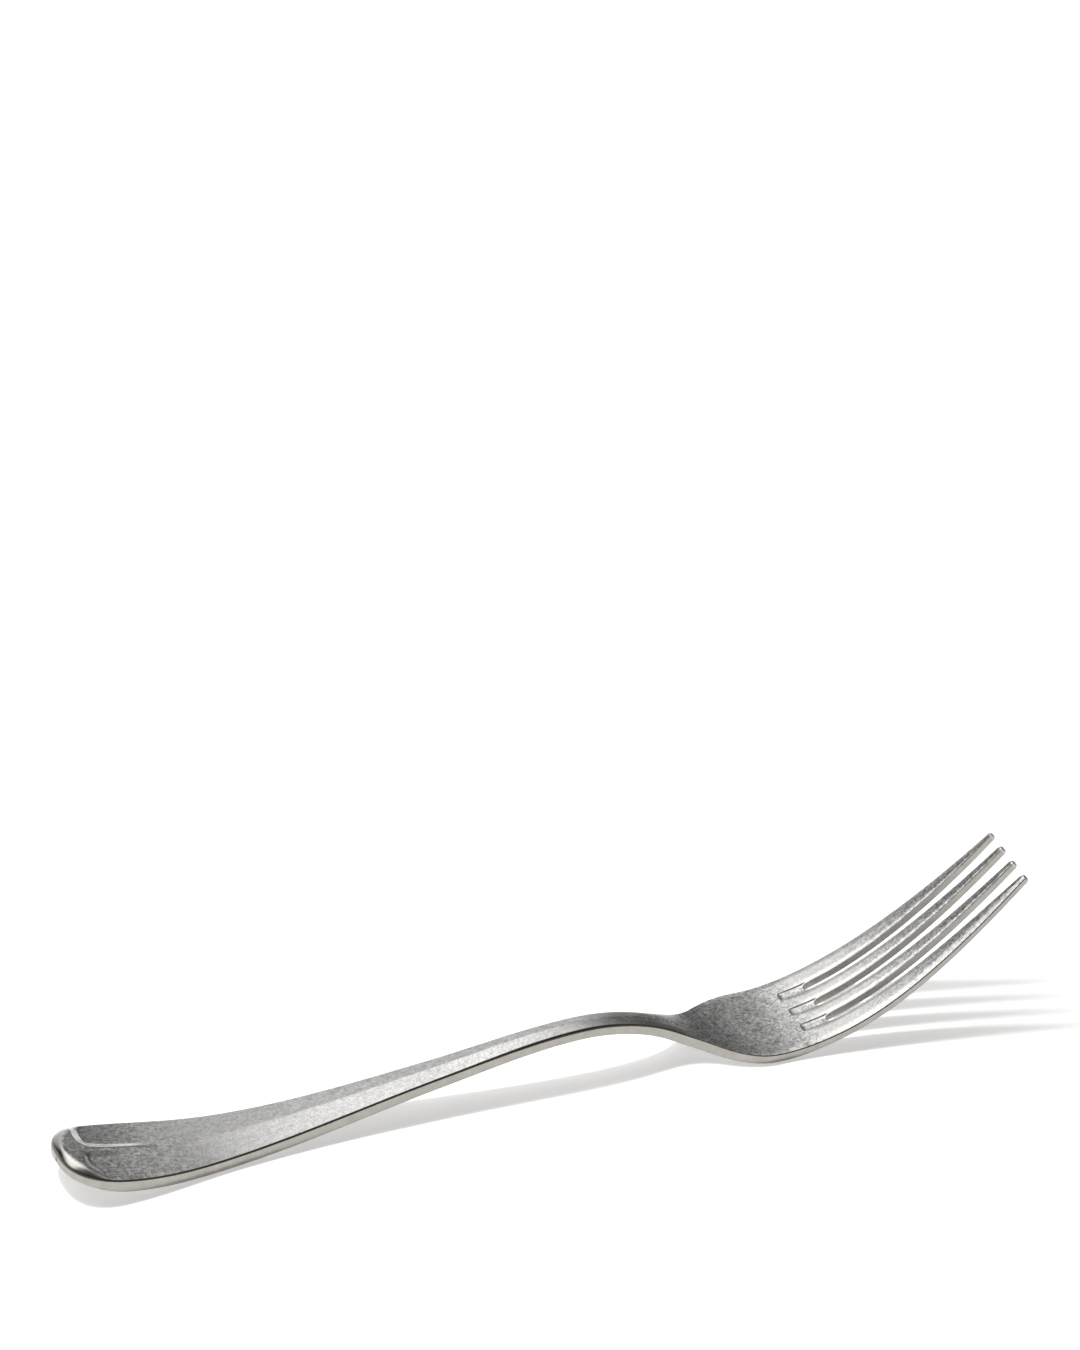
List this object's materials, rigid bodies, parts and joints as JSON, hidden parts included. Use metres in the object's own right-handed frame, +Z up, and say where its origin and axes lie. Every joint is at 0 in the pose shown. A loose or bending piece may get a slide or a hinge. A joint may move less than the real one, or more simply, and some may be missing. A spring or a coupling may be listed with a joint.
{
  "type": "dessert fork",
  "caption": "Stonewashed steel dessert fork with a waisted neck, upswept tapering tines with pressed grooves behind the slots, and a raised thumb pad on the handle end.",
  "frame": {"origin": "middle of the fork's box, on the table it lies on", "axes": "+X along the fork from the handle end to the tine tips, +Y across it, +Z up, with the hollow side of the tines facing up"},
  "size_m": [0.18, 0.0216, 0.0263],
  "materials": {
    "steel": "stonewashed satin, smoother and warmer on the cut edges"
  },
  "bodies": {
    "root": {"handle_end": "steel", "handle": "steel", "neck": "steel", "palm": "steel", "tine_1": "steel", "tine_2": "steel", "tine_3": "steel", "tine_4": "steel"}
  },
  "joints": []
}
